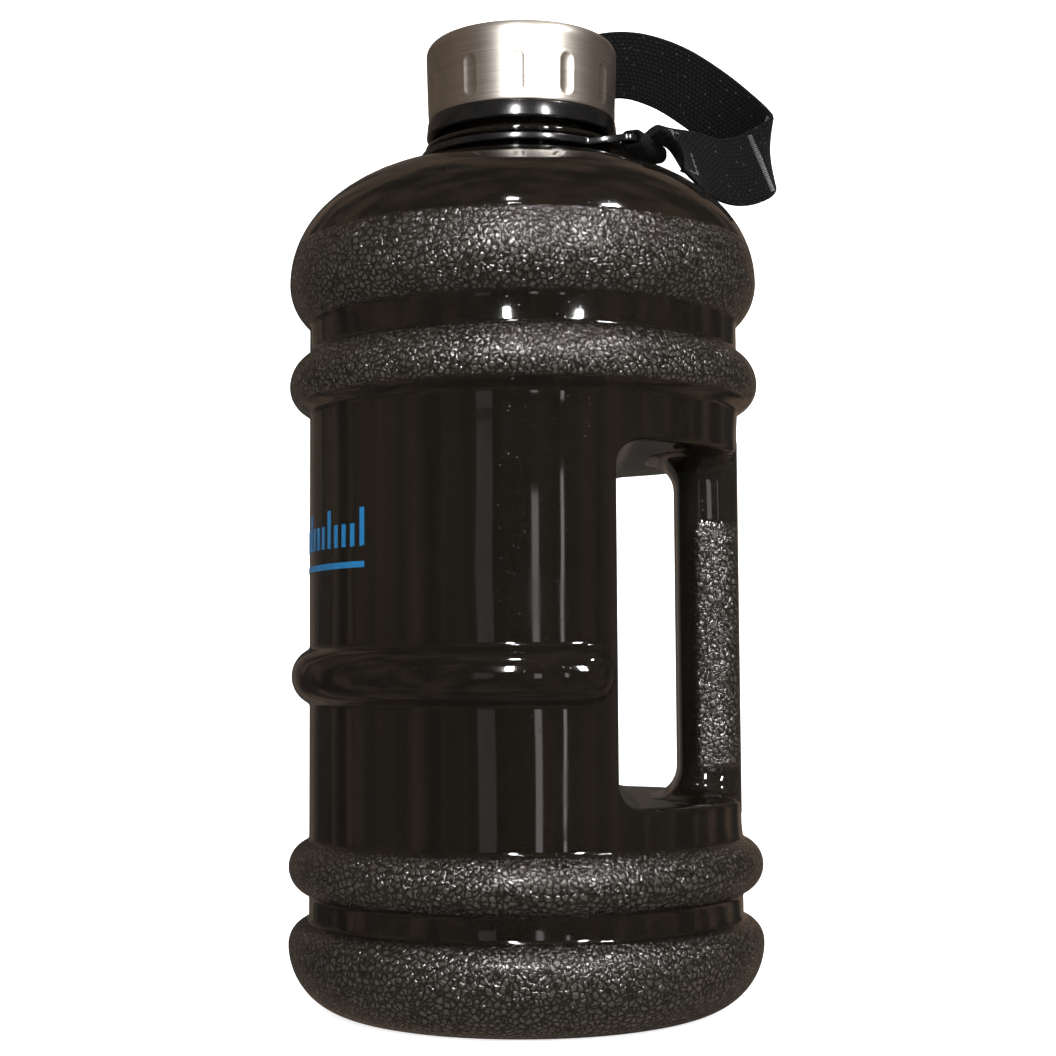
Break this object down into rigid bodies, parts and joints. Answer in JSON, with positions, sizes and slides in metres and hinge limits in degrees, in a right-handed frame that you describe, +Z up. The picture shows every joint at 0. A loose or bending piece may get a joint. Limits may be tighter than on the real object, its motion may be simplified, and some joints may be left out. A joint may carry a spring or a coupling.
{
  "type": "large water jug",
  "caption": "Large see-through water jug with swollen rings, a notched side grip, a screw cap in a steel shell, and a webbing strap on a turning neck ring.",
  "frame": {"origin": "centre of the base where the jug stands", "axes": "+Z up the jug's axis, +X towards the grip"},
  "size_m": [0.1387, 0.13, 0.2847],
  "materials": {
    "body": "smoky see-through, glossy with grained bands",
    "ink": "printed",
    "ring": "moulded",
    "webbing": "woven webbing",
    "thread": "sewn",
    "liner": "moulded",
    "steel": "brushed",
    "gasket": "silicone"
  },
  "bodies": {
    "bottle": {"bottle_body": "body", "printed_band": "ink"},
    "carry_ring": {"neck_ring": "ring", "carry_strap": "webbing", "strap_stitching": "thread"},
    "cap_seal": {"cap_gasket": "gasket"},
    "cap": {"cap_liner": "liner", "cap_steel_shell": "steel"}
  },
  "joints": [
    {"name": "ring_turn", "type": "hinge", "parent": "bottle", "child": "carry_ring", "pos_m": [0, 0, 0.235], "axis": [0, 0, 1], "continuous": true},
    {"name": "cap_lift", "type": "slide", "parent": "bottle", "child": "cap_seal", "axis": [0, 0, 1], "range_m": [0, 0.022]},
    {"name": "cap_turn", "type": "hinge", "parent": "cap_seal", "child": "cap", "pos_m": [0, 0, 0.25], "axis": [0, 0, 1], "range_deg": [0, 1980]}
  ],
  "couplings": [
    {"joint": "cap_lift", "follows": "cap_turn", "m_per_rad": 0.00063662}
  ]
}
